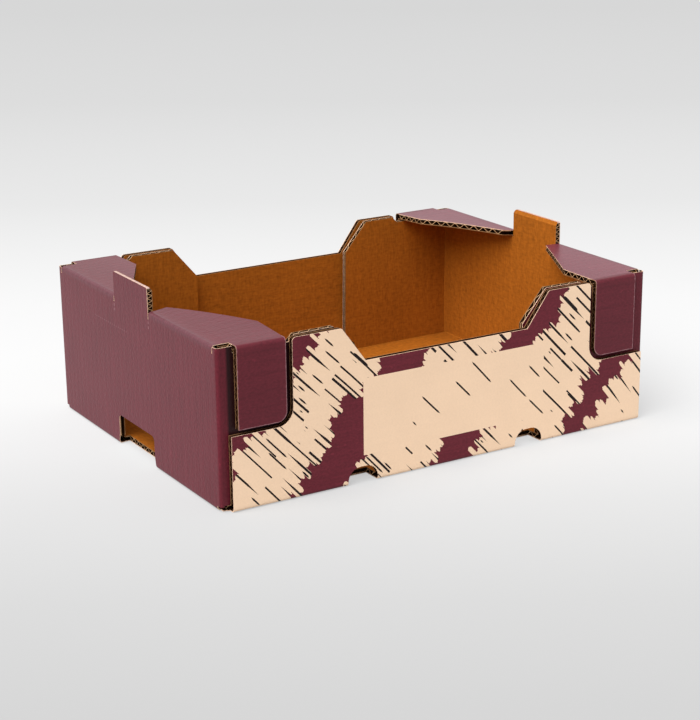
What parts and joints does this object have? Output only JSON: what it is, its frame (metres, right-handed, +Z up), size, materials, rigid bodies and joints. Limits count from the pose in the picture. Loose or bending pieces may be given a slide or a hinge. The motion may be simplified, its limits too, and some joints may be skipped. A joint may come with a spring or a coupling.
{
  "type": "corrugated cardboard tray",
  "caption": "Open corrugated cardboard produce tray with low long sides, raised corners, turned-in end flanges, stacking tabs and slots, purple and cream outside, brown inside.",
  "frame": {"origin": "centre of the floor's underside, on the surface that the tray stands on", "axes": "+X along the long sides, +Y across, +Z up through the open mouth"},
  "size_m": [0.4, 0.3, 0.147],
  "materials": {
    "board": "matt printed paper outside, bare brown paper inside and at the cut edges"
  },
  "bodies": {
    "root": {"tray": "board"}
  },
  "joints": []
}
